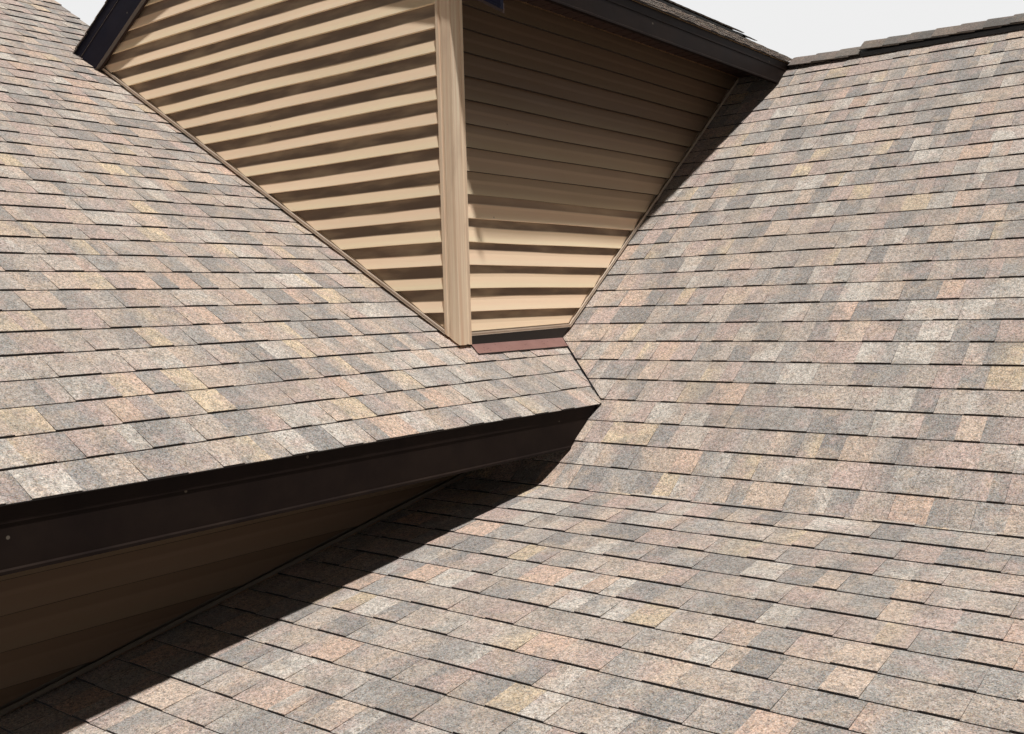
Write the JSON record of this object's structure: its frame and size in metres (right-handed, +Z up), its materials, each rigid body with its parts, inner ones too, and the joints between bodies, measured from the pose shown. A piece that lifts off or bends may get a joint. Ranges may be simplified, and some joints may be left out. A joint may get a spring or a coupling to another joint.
{
  "type": "gabled dormer with its adjoining roofs",
  "caption": "Blind gabled dormer with lap siding, rake boards and vented soffits, rising from steep, low and side roofs that end at plain party walls.",
  "frame": {"origin": "bottom centre of the bounding box, on the level underside of the walls", "axes": "+Z up, +Y back from the gable wall along the dormer ridge, +X from the dormer towards the main roof beside it"},
  "size_m": [7.15, 9.16, 4.3793],
  "materials": {
    "framed_wall": "raw sheathing on studs",
    "party_wall": "plain painted boards",
    "roof_deck": "raw sheathing",
    "shingles": "mineral granules, matt",
    "vent_black": "matt",
    "siding": "low sheen, weathered",
    "tan_trim": "low sheen, weathered",
    "flashing": "faded red-brown paint",
    "dark_trim": "dark brown coil coating, satin",
    "soffit": "dark brown, low sheen"
  },
  "bodies": {
    "root": {"gable_wall": "framed_wall", "rear_wall": "framed_wall", "cheek_wall": "framed_wall", "left_wall": "framed_wall", "wing_side_wall": "framed_wall", "wing_end_wall": "framed_wall", "wing_party_wall": "party_wall", "front_party_wall": "party_wall", "right_party_wall": "party_wall", "wing_deck": "roof_deck", "lower_deck": "roof_deck", "main_front_deck": "roof_deck", "main_rear_deck": "roof_deck", "dormer_right_deck": "roof_deck", "dormer_left_deck": "roof_deck", "wing_shingles": "shingles", "lower_shingles": "shingles", "main_front_shingles": "shingles", "main_rear_shingles": "shingles", "dormer_right_shingles": "shingles", "dormer_left_shingles": "shingles", "main_ridge_vent": "vent_black", "main_ridge_cap": "shingles", "dormer_ridge_vent": "vent_black", "dormer_ridge_cap": "shingles", "gable_siding": "siding", "cheek_siding": "siding", "wing_siding": "siding", "rear_siding": "siding", "left_siding": "siding", "corner_post": "tan_trim", "rear_corner_posts": "tan_trim", "gable_channel": "tan_trim", "cheek_channel": "tan_trim", "wing_channel": "tan_trim", "apron_flashing": "flashing", "front_rake_board": "dark_trim", "rear_rake_board": "dark_trim", "rake_soffits": "soffit", "dormer_fascias": "dark_trim", "dormer_soffits": "soffit", "wing_fascia": "dark_trim", "lower_soffits": "soffit", "rear_fascia": "dark_trim", "drip_edges": "dark_trim"}
  },
  "joints": []
}
